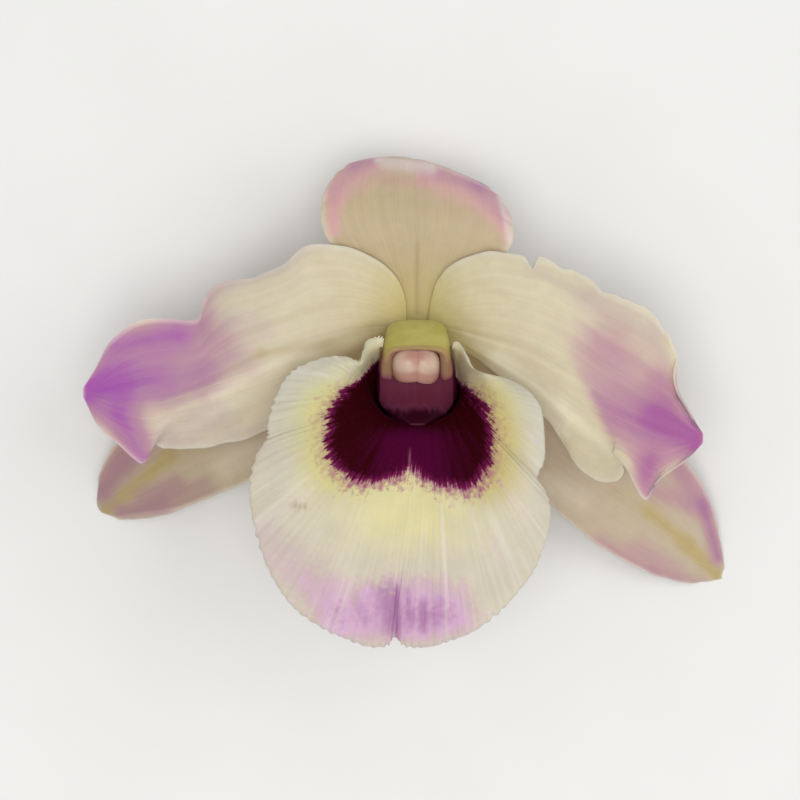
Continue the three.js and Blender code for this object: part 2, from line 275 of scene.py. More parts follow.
# Each blade: three lines from its root to its tip, the tints of its flesh, root, pink and purple, and then
# its paint in airbrush strokes: x and y of both ends, width and strength. "faces" is the side of its grid
# that is seen. A fold is where across the blade it begins and ends, its width and height, and where along it.
# Of these strokes, the darkening ones are painted shade, the lightening ones painted light, and the pale ones
# painted highlights on rims.
blades = {}

blades["dorsalSepal"] = {
    "node": "dorsal_sepal", "slot": "sepal", "grid": (190, 120), "veins": 11, "seed": 3, "faces": 1,
    "pleats": 0.02,
    "midrib": [[-0.1, 0.7, -3.9], [-0.1, 4.2, -3], [-0.1, 8.5, -1.6], [-0.2, 12, -0.9],
        [-0.3, 15.3, -1.9], [-0.4, 17.6, -4.6], [-0.5, 18.5, -8.2], [-0.5, 17.9, -12],
        [-0.4, 16.3, -15.1]],
    "upper": [[-1.9, 0.6, -4.2], [-3.6, 3.5, -3.5], [-7.2, 6.6, -1.9], [-9.8, 10.1, -0.9],
        [-10.2, 13.6, -1.8], [-8.9, 16.5, -4.2], [-6.4, 18.1, -7.6], [-3.4, 18.1, -11.6],
        [-1.1, 16.5, -15]],
    "lower": [[1.8, 0.6, -4.2], [3.6, 3.4, -3.5], [7.4, 6, -1.9], [9.8, 8.9, -0.9], [10, 11.4, -1.8],
        [9, 13.9, -4.4], [6.5, 15.9, -8], [3.1, 17.1, -12], [0.3, 16.2, -15]],
    "tints": [(0.50, 0.415, 0.275), (0.52, 0.44, 0.20), (0.60, 0.37, 0.36), (0.42, 0.20, 0.37)],
    "blush": [[-8.9, 10.5, -8.8, 14.4, 0.9, 0.5], [-8.6, 15, -7, 17.1, 1.4, 0.42],
        [-6.8, 17.6, -4.7, 18.1, 1.1, 0.7], [-7.7, 15.5, -3.5, 16.9, 1.8, 0.3],
        [0.8, 17.1, 6.6, 15.2, 1.2, 0.7], [6.6, 15.2, 9, 12.4, 1.4, 0.62],
        [1.3, 15.8, 7.9, 12.6, 2, 0.32], [8.7, 12.2, 9.4, 9.4, 0.8, 0.35],
        [-2.4, 15.6, 0.8, 15.4, 0.6, 0.2]],
    # pale: painted highlights along the rolled top and right rims
    "pale": [[-4.2, 18.1, 1.5, 17.4, 0.6, 0.75], [-3.6, 17.2, 1.5, 16.7, 0.6, 0.45],
        [8.7, 13.9, 9.9, 8.6, 0.5, 0.6], [2.4, 17.3, 7.9, 15, 0.3, 0.35]],
    # painted shade: across the cupped middle, in the midvein's groove and under the rolled top
    "dusk": [[-5.6, 13.4, 5.6, 12.8, 2.3, 0.25], [-0.1, 9.1, -0.1, 2, 0.4, 0.5],
        [-3.2, 15.7, 0.9, 15.4, 0.5, 0.35]],
}

blades["sideSepalLeft"] = {
    "node": "lateral_sepal_left", "slot": "sepal", "grid": (200, 90), "veins": 9, "seed": 5, "faces": -1,
    "midrib": [[-1.6, -3.9, -6.3], [-5.1, -4.8, -5.8], [-10.2, -6.2, -5.8], [-16, -8.4, -6.4],
        [-21.5, -10.9, -7.8], [-26.6, -13.5, -9.8], [-31.3, -16.6, -12.5], [-35.1, -19.1, -14.95]],
    "upper": [[-1.7, -0.5, -5.1], [-4.9, -0.6, -4.5], [-10.2, -1.5, -4.7], [-16, -3.3, -5.2],
        [-22, -5.8, -6.6], [-27.8, -8.6, -8.6], [-32.3, -11.6, -11], [-34.6, -15, -13.3],
        [-35.2, -18.4, -14.9]],
    "lower": [[-1.5, -8.3, -9.5], [-3.8, -8.9, -8.6], [-8.9, -11.2, -7.8], [-13.7, -14, -8],
        [-18.3, -16.2, -9], [-22.8, -18.1, -10.8], [-27.6, -19.9, -12.8], [-31.9, -20.5, -14.4],
        [-34.7, -19.7, -14.95]],
    # these tints are darker than the right sepal's: painted shade over the whole left sepal
    "tints": [(0.455, 0.385, 0.275), (0.50, 0.42, 0.20), (0.37, 0.24, 0.235), (0.33, 0.165, 0.24)],
    "blush": [[-34.5, -17.3, -31.6, -13, 1.6, 0.7], [-31.6, -14.4, -28.9, -12.7, 1.3, 0.3],
        [-32.3, -19.7, -27.8, -19, 1.1, 0.6], [-27.8, -18.7, -22.9, -16.8, 1.4, 0.4],
        [-30, -17.6, -26.2, -16.2, 1.2, 0.35]],
    "band": [[-34.4, -19.5, -31.5, -17.4, 0.8, 1], [-31.5, -17.4, -26.9, -13.4, 1.1, 0.9],
        [-26.9, -13.4, -23.5, -12.4, 1.3, 0.4]],
    # the pale stroke is a painted highlight on the lower margin, the light stroke painted light where the
    # petal above casts its shadow, the last faint stroke painted shade
    "pale": [[-33.2, -20.3, -23.5, -18.7, 0.4, 0.3]],
    "light": [[-20.8, -14.4, -14.8, -11.7, 1.7, 0.9]],
    "dusk": [[-20.8, -13.3, -14.8, -10.8, 2.3, 0.12]],
}

blades["sideSepalRight"] = {
    "node": "lateral_sepal_right", "slot": "sepal", "grid": (200, 90), "veins": 9, "seed": 7, "faces": 1,
    "midrib": [[1.5, -3.9, -6.3], [4.7, -5.6, -5.8], [9.3, -8.7, -5.8], [14.9, -12.7, -6.4],
        [20.3, -16.4, -7.8], [25.2, -19.7, -9.8], [29.7, -23.3, -12.5], [33.5, -26.5, -14.95]],
    "upper": [[1.6, -0.5, -5.1], [4.7, -0.9, -4.5], [10, -2.4, -4.7], [16.3, -5.4, -5.2],
        [21.9, -8.6, -6.6], [26.6, -11.7, -8.6], [30.4, -15.6, -11], [32.7, -20.5, -13.3],
        [33.8, -25.8, -14.9]],
    "lower": [[1.5, -8.3, -9.5], [3.7, -9.3, -8.6], [8, -12.7, -7.8], [12.1, -16.5, -8.2],
        [16.3, -20.4, -9.4], [20.9, -23.9, -11.2], [25.4, -26.3, -13], [30.1, -27.4, -14.5],
        [33.5, -27, -14.95]],
    "tints": [(0.525, 0.445, 0.33), (0.54, 0.45, 0.22), (0.48, 0.31, 0.32), (0.37, 0.165, 0.31)],
    "blush": [[27.9, -14, 31, -18.7, 1.4, 0.75], [31.1, -18.7, 32.9, -24.6, 0.9, 0.85],
        [25.6, -17.1, 29.4, -18.7, 1.3, 0.45], [19.7, -22.7, 25.6, -25.9, 1.3, 0.45],
        [25.6, -26.3, 31, -27.6, 0.9, 0.5], [24, -23, 28.3, -25.7, 1.3, 0.3]],
    "band": [[25.1, -19.4, 29.1, -22.9, 0.9, 0.8], [29.1, -22.9, 33.1, -26.5, 0.9, 1],
        [21.3, -17.1, 25.1, -19.4, 1.3, 0.4]],
    # the pale stroke is a painted highlight on the lower margin, the light stroke painted light in a shaded
    # spot, the last faint stroke painted shade
    "pale": [[18.6, -23, 29.4, -28.5, 0.4, 0.7]],
    "light": [[13.8, -16.2, 17.5, -18.1, 1.6, 0.7]],
    "dusk": [[13.8, -17.1, 17, -18.1, 1.5, 0.08]],
}

blades["petalLeft"] = {
    "node": "petal_left", "slot": "petal", "grid": (260, 130), "veins": 13, "seed": 11, "faces": -1,
    "midrib": [[-1.4, 0.2, -3.6], [-3.4, 0.5, -2.2], [-6.9, 0.1, 0.2], [-11.1, -1, 1.8],
        [-15.4, -2.4, 2.6], [-19.8, -4.1, 2.6], [-24, -6, 2.2], [-28, -6.7, 2], [-31.9, -6.9, 2],
        [-35, -6.5, 1.6]],
    "upper": [[-1.3, 1.3, -3.6], [-1.3, 3.1, -3], [-2.1, 5.3, -2], [-4.1, 7.3, -0.9], [-7.7, 8.8, -0.2],
        [-11.8, 8.8, 0.3], [-14.2, 6.8, 0.2], [-17.6, 5.6, -0.2], [-21.1, 4.9, -0.6], [-22.5, 3.2, 0.2],
        [-23.1, 1.1, 1.6], [-26, 1.1, 2.8], [-29.1, 0.9, 3.3], [-32, -1.2, 2.8], [-33.8, -4.2, 1.9],
        [-35, -6.1, 1.6]],
    "lower": [[-1.4, -1.1, -3.6], [-3.2, -1.8, -2.4], [-6.1, -3.6, -1.2], [-9.7, -6.1, -1],
        [-13.7, -9.1, -1.4], [-17.9, -11.3, -2], [-22.4, -12.4, -1.8], [-26.4, -12.4, -1.4],
        [-27.9, -12.2, 0.4], [-28.7, -14, 2.6], [-30.8, -12.4, 3], [-33.4, -10, 2.4], [-35, -7, 1.6]],
    "tints": [(0.63, 0.57, 0.43), (0.60, 0.51, 0.235), (0.44, 0.265, 0.335), (0.335, 0.078, 0.385)],
    "blush": [[-35.6, -6.5, -31.4, -5.9, 3.1, 1], [-31.2, -5.3, -27, -4.4, 2.7, 0.72],
        [-31.7, -1.6, -25.1, -0.5, 2, 0.8], [-31.2, -8.9, -28.9, -13.4, 1.8, 0.8],
        [-26.5, -6.8, -22.8, -4.7, 1.9, 0.5], [-22.3, -4.7, -17.6, -3.4, 2.1, 0.25],
        [-24.9, -0.5, -20.5, -1.3, 2.5, 0.38], [-22.3, 3.6, -22.5, 0.5, 1.3, 0.3],
        [-21.3, 4.8, -16.3, 6.3, 1.1, 0.12]],
    "wash": [[-21.8, 4.2, -15, 7.1, 1.5, 0.8], [-15, 7.1, -10.3, 9.2, 1.3, 0.5],
        [-21.3, 1, -16.5, 0, 2.1, 0.6], [-26.5, -11.5, -21.3, -8.9, 2.3, 0.8],
        [-18.6, -11.5, -15.5, -10, 1.5, 0.5]],
    # painted shade: along the midrib's groove and over the lower half, which curves back
    "dusk": [[-3.5, 0.8, -9.4, -1.6, 0.9, 0.6], [-9.4, -1.6, -16.3, -2.5, 0.7, 0.55],
        [-16.3, -2.5, -22, -5.2, 0.6, 0.55], [-22, -5.2, -31.4, -6.9, 0.5, 0.35],
        [-5, -1.6, -12.4, -4.4, 1.7, 0.35], [-12.4, -5.3, -16.3, -11, 1.3, 0.25],
        [-10.3, 7.1, -7.1, 4.2, 1.1, 0.25], [-8.2, 3.1, -17.6, 0, 0.9, 0.3]],
    # painted light: the lit band along the fold below the midrib
    "light": [[-12.4, -2.3, -21.3, -6.8, 0.7, 0.5], [-17.6, -6.8, -24.9, -10.5, 0.9, 0.35]],
    "folds": [[-0.3, -0.42, 0.22, 0.8, 0.08, 0.75]],
    # the blush stays to the left of one of these lines: x and y of both ends, softness
    "creases": [[-28.1, -12.6, -18.6, -7.4, 1.5], [-28.4, -14.7, -27.4, -11.3, 0.5]],
}

blades["petalRight"] = {
    "node": "petal_right", "slot": "petal", "grid": (290, 120), "veins": 13, "seed": 13, "faces": 1,
    "midrib": [[1.3, 0.2, -3.6], [3.3, 0.3, -2.2], [6.9, -0.7, 0.2], [11.1, -2, 1.8], [15, -4.1, 2.6],
        [18.7, -6.6, 2.6], [22.3, -8.7, 2.2], [25.4, -10.1, 2], [28, -10.9, 2], [29.8, -11.3, 1.6]],
    "upper": [[1.2, 1.3, -3.6], [1.4, 3.2, -3], [2.2, 5.5, -2], [4, 7.2, -0.9], [7.4, 8.3, -0.2],
        [10.6, 7.9, 0.3], [13.8, 7.2, 0.4], [17.2, 5.9, 0.4], [20.3, 3.9, 0.4], [23.6, 2.5, 0.5],
        [25.8, 0.3, 0.7], [26.9, -2.5, 1.4], [26.7, -5.6, 2.3], [28.4, -8.8, 2.2], [29.8, -10.9, 1.6]],
    "lower": [[1.3, -1.1, -3.6], [3.2, -1.6, -2.4], [6.1, -2.9, -1], [9.5, -5.5, -0.8],
        [12.9, -8.6, -1.2], [15.4, -11.9, -1.8], [17.8, -15.2, -2.4], [20.6, -16.1, -2.6],
        [21.7, -14.8, -0.8], [20.5, -13.1, 1.4], [21.6, -14.4, 2.6], [23.5, -17.7, 3.2], [24.8, -15.9, 3],
        [27.9, -13.7, 2.3], [29.8, -11.8, 1.6]],
    "tints": [(0.63, 0.575, 0.42), (0.60, 0.525, 0.25), (0.48, 0.30, 0.34), (0.355, 0.10, 0.315)],
    "blush": [[28.9, -11.5, 24.8, -9.4, 2.9, 1], [23.2, -16.8, 24.1, -13.8, 1.8, 0.8],
        [21.3, -9.2, 24.5, -10.3, 2.7, 0.55], [18.6, -2.3, 21.1, -6.8, 3.6, 0.4],
        [17, -5.8, 19.5, -9.4, 2.1, 0.26], [18.2, -6.8, 22.4, -10.2, 0.5, 0.3],
        [25.3, -5.8, 26.2, -7.6, 1.6, 0.5], [21.1, -1.1, 24.3, -3.4, 2.5, 0.24]],
    "wash": [[18, 3.1, 24.8, -0.5, 1.9, 0.7], [11.7, 6.3, 18, 3.1, 0.9, 0.5],
        [24.8, -0.5, 26.1, -4.2, 0.9, 0.5], [14.9, 0, 19, -2.1, 2.1, 0.35]],
    # painted shade: near the column, below the upper lobe and on the lower lobe
    "dusk": [[3.1, 2.6, 6, 0.5, 0.9, 0.3], [6.5, 4.7, 14.9, 1, 0.8, 0.25],
        [14.9, -11.5, 19, -14.2, 0.8, 0.2]],
    # painted light: where the lip's shadow falls on the lower half, and along the fold
    "light": [[5.4, -0.5, 14.9, -7.9, 0.8, 0.5], [14.9, -7.9, 20.3, -12.8, 0.7, 0.5],
        [12.8, 4.2, 18, 1.5, 1.1, 0.25], [8.6, -3.2, 14.9, -10.5, 1.4, 0.9]],
    "folds": [[-0.42, -0.66, 0.13, 0.45, 0.1, 0.7]],
    "creases": [[17.3, -6.3, 22.2, -15.5, 1.1]],
    # in the upper margin: where along it, how deep, how wide
    "notches": [[0.386, 1.5, 0.0105], [0.415, -0.3, 0.02], [0.457, 0.4, 0.013], [0.55, 0.45, 0.016],
        [0.63, 0.15, 0.01], [0.707, 0.3, 0.013], [0.78, 0.15, 0.012]],
}


def bladeMiddle(shape, u, v):
    # A parabola from one margin over the midrib to the other, raised along its folds and cut at its notches
    m, a, b = (spline(shape[edge], u) for edge in ("midrib", "upper", "lower"))
    w = v[..., None]
    p = m + w * (a - b) / 2 + w ** 2 * ((a + b) / 2 - m)
    for start, end, width, height, low, high in shape.get("folds", []):
        along = step(u, low, low + 0.15) * step(1 - u, 1 - high, 1.12 - high)
        p[..., 2] += height * bump(v, start + (end - start) * u, width) * along
    if "notches" in shape:
        near = np.clip(v, 0, 1) ** 9  # only close to the upper margin
        cut = sum(depth * bump(u, at, width) for at, depth, width in shape["notches"]) * near
        p -= unit(a - m) * cut[..., None]
        p[..., 2] += 0.25 * cut
    return p


def bladeRelief(shape, u, v):
    # A furrow along the midrib, soft pleats beside it, fine veins that fan out, and margins that ripple
    seed = shape["seed"]
    body = (0.3 * step(u, 0.0, 0.08) + 0.7 * step(u, 0.08, 0.35)) * step(1 - u, 0.0, 0.1)
    furrow = -bladeForm["furrow"] * bump(v, 0, 0.045 + 0.03 * u) * (1 - 0.6 * u)
    wander = v * (1 + 0.12 * np.sin(2.3 * np.pi * u)) + 0.02 * hum(u, (2, 3, 5), seed)
    veins = -bladeForm["veins"] * np.cos(np.pi * shape["veins"] * wander) ** 8 * (1 - bump(v, 0, 0.12))
    swell = 0.6 + 0.4 * hum(u, (1, 2, 3), seed + 2)
    pleats = shape.get("pleats", bladeForm["pleats"]) * hum(wander * 0.5, (4, 6, 9), seed + 1) * swell
    ripple = bladeForm["ripple"] * hum(u, (4, 7, 11, 17), seed + 3) * np.abs(v) ** 6
    return shape["faces"] * body * (furrow + veins + pleats + ripple)


def bladeSkin(u, v):
    # Thickest along the midrib, rounded off to almost nothing at the margins and the tip
    return bladeForm["thickness"] * (0.75 + 0.25 * bump(v, 0, 0.25)) * tapered((v, 16), (u, 40))


def brushed(strokes, p):
    # Airbrush strokes seen from the front: each fades as a bell curve with the distance from its line, and
    # what one leaves bare the next one may cover, so that strokes never add up to more than 1
    bare = np.ones(p.shape[:-1])
    for x0, y0, x1, y1, width, strength in strokes:
        dx, dy = x1 - x0, y1 - y0
        along = np.clip(((p[..., 0] - x0) * dx + (p[..., 1] - y0) * dy) / (dx * dx + dy * dy), 0, 1)
        away = np.hypot(p[..., 0] - x0 - along * dx, p[..., 1] - y0 - along * dy)
        bare *= 1 - strength * bump(away, 0, width)
    return 1 - bare


def beyond(p, x0, y0, x1, y1, soft):
    # 1 to the left of the line from one point to the other, seen from the front, and 0 to its right
    away = ((p[..., 1] - y0) * (x1 - x0) - (p[..., 0] - x0) * (y1 - y0)) / math.hypot(x1 - x0, y1 - y0)
    return step(away, -soft, soft)


# How these strokes change the flesh under the blush, and how far their edges wander: the darkening strokes
# are painted shade in furrows and shaded parts, the lightening ones painted light on lit folds and where
# shadows fall
washes = {"wash": ((0.84, 0.79, 0.95), 0.35), "light": ((1.2, 1.22, 1.3), 0.35),
          "dusk": ((0.78, 0.74, 0.58), 0.35), "band": ((0.92, 0.86, 0.56), 0.3)}


def bladeMaterial(name, shape):
    # Ivory tissue, yellower at the root, with painted shade in its furrows and painted light and highlights
    # on its lit folds and rims, that blushes in streaks along the blade
    material = tissue(shape["slot"] + "_" + name, rough=0.55, depth=0.45, gloss=0.22)
    flesh, root, pink, purple = shape["tints"]
    lilac = tuple(0.55 * a + 0.45 * b for a, b in zip(pink, purple))
    streaks, veins = cloud((1.8, 15.0), 3.0), cloud((1.2, 60.0))
    patches, lace, grain = cloud(170, 3.0), cloud(800), cloud(2600)
    wild = 0.55 if shape["slot"] == "sepal" else 0.8
    uneven = plus(-0.5 * wild, (streaks, 0.45 * wild), (patches, 0.4 * wild), (lace, 0.15 * wild))

    def painted(key, wander, tint, colour):
        # A layer of strokes whose edge wanders with the streaks and patches
        if key not in shape:
            return tint
        share = smooth(plus(key, (uneven, wander)), 0.0, 1.0)
        return blend(times(share, smooth(key, 0.0, 0.15)), tint, colour)

    tint = coat(flesh, ("green", 0, 1, root))
    # Strokes that darken the flesh are painted shade, strokes that lighten it are painted light
    for key, (change, wander) in washes.items():
        tint = painted(key, wander, tint, tuple(min(0.8, a * b) for a, b in zip(flesh, change)))
    shade = times(plus("blush", (uneven, 1.0)), smooth("blush", 0.0, 0.12))
    deep = coat(purple, (patches, 0.35, 0.65, lilac))
    tint = coat(tint, (shade, 0.0, 0.6, pink), (shade, 0.4, 1.05, deep), (shade, 0.75, 1.1, purple))
    # Margins and tip painted lighter, as painted light shining through thin tissue; the pale strokes are
    # painted highlights on rolled rims
    tint = blend(times("rim", 0.3), tint, (0.74, 0.68, 0.64))
    tint = painted("pale", 0.3, tint, (0.70, 0.60, 0.56))
    tint = tone(tint, (veins, 0.025), (lace, 0.02))
    dress(tint, plus(grain, (veins, 0.8)), 0.3, 0.0001, plus(0.47, (lace, 0.16)))
    return material


def makeBlades():
    # The five blades, each a closed skin with its fields of paint
    for name, shape in blades.items():
        u, v = grid(*shape["grid"])
        middle = bladeMiddle(shape, u, v)
        middle += normals(middle) * bladeRelief(shape, u, v)[..., None]
        values = {
            "green": bump(u, 0, 0.22),
            # painted light: the margins and tip, lighter as if light shone through them
            "rim": np.maximum(step(np.abs(v), 0.9, 1.0), step(u, 0.985, 1.0)) * step(u, 0.1, 0.2),
        }
        painted = [key for key in ("blush", "pale", *washes) if key in shape]
        values.update({key: brushed(shape[key], middle) for key in painted})
        if "creases" in shape:
            values["blush"] *= np.max([beyond(middle, *crease) for crease in shape["creases"]], axis=0)
        uv = np.stack([u, (v + 1) / 2], -1)
        piece = shell(name, middle, bladeSkin(u, v), bladeMaterial(name, shape), uv, values)
        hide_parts(shape["node"])
        print("made", name, len(piece.data.polygons))


lip = {
    "grid": (84, 560), "thickness": 0.42,
    "ribs": 0.03, "pleats": 0.018, "frill": 0.11, "furrow": 0.2,  # heights of its relief
    "teeth": (0.14, 0.08),  # reach of the coarse and the fine ones
    # middle x, y, radius across, radius down, half angle in degrees, z, rise of z to the sides
    "arcs": [[-0.1, -8.2, 2.2, 1.6, 70, -6.9, 0.3], [-0.1, -7.2, 3.8, 2.95, 100, -5.4, 0.4],
        [-0.1, -6.3, 4.7, 4, 118, -2.6, 0.4], [-0.15, -5.8, 5.05, 4.5, 129, 0.8, 0.3],
        [-0.2, -5.6, 5.7, 5.1, 138, 4.4, -0.2]],
    "swell": [[0.3, 3, 26], [0.65, 2.6, 13]],   # share of the way to the outline, height, columns to even out
    "outline": [[-3.75, -1.9, 4.6], [-3.65, -1.1, 5], [-4.4, -1, 5.5], [-5.4, -1.3, 6.2], [-5.7, -2.2, 6.8],
        [-6.1, -3.3, 7.2], [-7.4, -2.9, 7.6], [-9.7, -3.1, 7.4], [-12.2, -4, 7.2], [-13.8, -5.4, 7.4],
        [-14.9, -7.6, 7.7], [-15.4, -9.8, 7.3], [-15.4, -11.2, 7.15], [-16.6, -13, 7.8], [-17.2, -16, 8.2],
        [-17, -19.2, 8.4], [-16.1, -22.5, 8.6], [-14.6, -25.8, 8.7], [-12.7, -28.6, 8.3], [-10.2, -30.5, 7.8],
        [-7.8, -31.7, 7.4], [-5.4, -32.6, 6.9], [-3.3, -32.5, 6.6], [-2.4, -31.6, 6.7], [-1.3, -32.6, 6.8],
        [1, -32.7, 7.1], [3.2, -32, 7.6], [5.6, -31, 8], [8.1, -29.1, 8.4], [10.2, -26.8, 8.9],
        [11.9, -24.5, 8.9], [13, -21.4, 8.7], [13.4, -18.6, 8.5], [12.9, -16.6, 7.9], [12.1, -15.4, 7.45],
        [13, -13.3, 7.35], [12.9, -10.4, 7.7], [12.3, -7.8, 7.4], [10.6, -5.8, 6.8], [8.4, -4.9, 6.8],
        [6.5, -4.6, 7.4], [5.5, -3.9, 7.1], [4.9, -2.6, 6.4], [4.3, -1.5, 5.8], [3.7, -1.4, 5],
        [3.5, -2.2, 4.6]],
    "eyeMiddle": [-0.66, -9.9],
    # outline of the dark eye: degrees from straight down towards +X, and radius
    "eye": [[-180, 7.9], [-152, 7.8], [-142, 7.5], [-135, 7.3], [-129, 7.3], [-120, 7.7], [-106, 8.4],
        [-94, 8.8], [-71, 9.2], [-58, 8.9], [-47, 8.2], [-35, 7.2], [-23, 5.9], [-11, 4.9], [-3, 4.5],
        [8, 5.1], [19, 6.2], [32, 7.4], [42, 8.5], [51, 9], [63, 8.9], [76, 8.6], [103, 8], [115, 7.4],
        [128, 6.9], [136, 7], [147, 7.8], [180, 7.9]],
    # airbrush strokes: a pinkish veil, the lavender apex, its darker streaks and a few brown freckles
    "veil": [[-16, -21.2, -12.1, -25.8, 2.3, 0.8], [-12.1, -23.7, -9.1, -26.8, 2.3, 0.6],
        [8.3, -23.7, 5.3, -27.8, 1.9, 0.25]],
    "apex": [[-7.8, -29.7, 3.4, -29.3, 3.1, 0.85], [-4.3, -27.1, 1, -27.3, 2.2, 0.42],
        [-11.9, -25.4, -8.5, -28, 1.9, 0.42]],
    "stripe": [[-2.3, -26.6, -2.3, -32.1, 0.4, 0.95], [-3.5, -26.3, -2.7, -30.7, 1.2, 0.6],
        [0.5, -28, 0.5, -30.9, 0.4, 0.7], [2.2, -27.8, 1.8, -30.4, 0.6, 0.35],
        [-6.4, -27.8, -5.4, -29.9, 0.6, 0.25], [-1.1, -26.8, -0.7, -30.4, 0.4, 0.35]],
    "freckle": [[-12.7, -18, -12.2, -18.2, 0.3, 0.65], [-11.6, -18.2, -11.4, -18.3, 0.2, 0.45]],
}


def evened(curve, reach):
    # A bell-weighted moving average along a curve, with its ends held
    ends = np.repeat(curve[:1], reach, 0), np.repeat(curve[-1:], reach, 0)
    window = np.hanning(2 * reach + 3)[1:-1]
    padded = np.concatenate([ends[0], curve, ends[1]])
    return np.stack([np.convolve(axis, window / window.sum(), "valid") for axis in padded.T], -1)


def lipRings(v):
    # The arcs round the tube, two swollen rings between the throat and the outline, and the outline itself
    outline = spline(lip["outline"], (v + 1) / 2)
    rings = []
    for x, y, across, down, half, z, rise in lip["arcs"]:
        turn = math.radians(half) * v
        arc = [x + across * np.sin(turn), y - down * np.cos(turn), z + rise * (1 - np.cos(turn))]
        rings.append(np.stack(arc, -1))
    throat = rings[-1]
    for share, height, reach in lip["swell"]:
        ring = throat + share * (outline - throat)
        ring += (evened(ring, reach) - ring) * (1 - step(np.abs(v), 0.7, 0.82))[:, None]
        ring[..., 2] += height * (1 - np.abs(v) ** 5)
        rings.append(ring)
    rings.append(outline)
    return np.stack(rings)


def lipMiddle(t, v):
    # A smooth skin over the rings, pleated along lines that run from the throat to a margin with tiny teeth
    rings = lipRings(v[0])
    p = spline(rings.reshape(len(rings), -1), t[:, 0]).reshape(*t.shape, 3)
    turn = (v + 1) / 2
    wander = turn + 0.003 * np.sin(9 * t)
    margin = step(t, 0.66, 0.95)
    calm = 1 - 0.9 * step(v, 0.5, 0.62)  # the folded right side has hardly any ribs or teeth
    upper = 1 + 1.3 * bump(v, -0.6, 0.16) + 0.3 * bump(v, 0.55, 0.3)  # strongest at the upper left
    inner = 1 - step(np.abs(v), 0.84, 0.93)
    ribs = lip["ribs"] * hum(wander, (83, 97, 109, 121), 21) * upper * inner * calm
    pleats = lip["pleats"] * hum(wander, (31, 38, 47), 25)
    frill = lip["frill"] * hum(turn, (9, 14, 18), 22) * t ** 6
    furrow = lip["furrow"] * bump(v, 0.02, 0.012 + 0.012 * t) * step(t, 0.6, 0.8) * (1 - 0.4 * t)
    height = (ribs + pleats) * margin + frill - furrow
    p -= normals(p) * (height * (1 - np.abs(v) ** 14))[..., None]
    coarse, fine = lip["teeth"]
    teeth = coarse * np.abs(hum(turn, (51, 57, 66), 23)) + fine * hum(turn, (101, 127, 149), 24)
    return p + unit(np.gradient(p, axis=0)) * (teeth * calm * t ** 30)[..., None]


def aroundEye(p):
    # Seen from the front and from the eye's middle: degrees from straight down towards +X, and distance
    dx, dy = p[..., 0] - lip["eyeMiddle"][0], lip["eyeMiddle"][1] - p[..., 1]
    return np.degrees(np.arctan2(dx, dy)), np.hypot(dx, dy)


def eyeDepth(p):
    # How far inside the dark eye a point lies, along the line from the eye's middle
    angle, away = aroundEye(p)
    return np.interp(angle, *np.array(lip["eye"]).T) - away


def lipMaterial():
    # Ivory that turns yellow round a feathered maroon eye, with a lavender apex and fine ribs at the margin
    material = tissue("lip_skin", rough=0.7, depth=0.35, gloss=0.04)
    ivory, glow, lime = (0.59, 0.55, 0.45), (0.665, 0.62, 0.345), (0.575, 0.54, 0.245)
    amber, veil, rosy = (0.52, 0.45, 0.18), (0.56, 0.47, 0.46), (0.57, 0.425, 0.47)
    lavender, orchid, stripe = (0.62, 0.42, 0.58), (0.45, 0.245, 0.42), (0.33, 0.14, 0.31)
    brown, chalk, wine = (0.24, 0.19, 0.08), (0.71, 0.67, 0.59), (0.34, 0.10, 0.19)
    maroon, violet, plum = (0.029, 0.0001, 0.0015), (0.072, 0.001, 0.029), (0.16, 0.010, 0.07)
    cream, crimson = (0.76, 0.69, 0.48), (0.34, 0.13, 0.20)
    brick, tan = (0.40, 0.19, 0.19), (0.46, 0.33, 0.22)
    rays, tufts, gusts = cloud((70.0, 1.6), 3.0, 0.6), cloud((150.0, 7.0), 5.0, 0.75), cloud((26.0, 1.2))
    ribs, mottle, specks, grain = cloud((190.0, 2.2)), cloud(380, 3.0), cloud(1800, 3.0), cloud(3400)
    ray, tuft, gust, spot, speck = (swing(pattern) for pattern in (rays, tufts, gusts, mottle, specks))
    side = blend("amber", lime, amber)
    warm = plus("glow", (ray, 0.3), (spot, 0.3))
    near = plus("ring", (ray, 0.35), (spot, 0.25))
    uneven = plus(0.0, (ray, 0.8), (gust, 0.35), (spot, 0.6), (speck, 0.6))
    misty = plus("veil", (uneven, 1.0))
    low = plus("apex", (uneven, 1.0))
    tint = coat(ivory, (warm, 0.0, 1.05, glow), (near, 0.05, 1.0, side), (misty, 0.05, 1.1, veil),
                (low, 0.08, 0.6, rosy), (low, 0.4, 0.8, lavender), (low, 0.65, 1.2, orchid))
    core = times(smooth(low, 0.2, 0.7), "stripe")
    lines = times(smooth(rays, 0.52, 0.72), smooth("eye", -1.5, -4.0))
    for share, colour in ((core, stripe), ("freckle", brown), (times(lines, 0.5), chalk)):
        tint = blend(share, tint, colour)
    ribbed = plus(0.5, (swing(ribs), "rim"))
    tint = tone(tint, (ribbed, 0.035), (mottle, 0.03))
    deep = plus("eye", (tuft, 3.4), (gust, 1.4), (speck, 1.0))  # above 0 in the eye's dark colours
    misted = times(smooth(plus(deep, (speck, 3.6)), -1.9, 0.2), "mist")
    inner = plus("heart", (ray, 1.3), (tuft, 1.3))
    dark = coat(maroon, (inner, 0.0, 1.0, violet))
    tint = coat(blend(misted, tint, wine), (deep, -0.22, 0.12, plum), (deep, 0.0, 1.0, dark))
    flap = times("flap", smooth(deep, 0.2, -0.4))
    thread = times("thread", smooth(rays, 0.3, 0.7))
    outside = times(times("under", smooth(deep, -1.5, 0.8)), 0.8)
    for share, colour in ((flap, cream), (thread, crimson), (outside, blend(rays, brick, tan))):
        tint = blend(share, tint, colour)
    dress(tint, plus(times(grain, 0.6), (ribbed, 1.7)), 0.4, 0.00014)
    return material


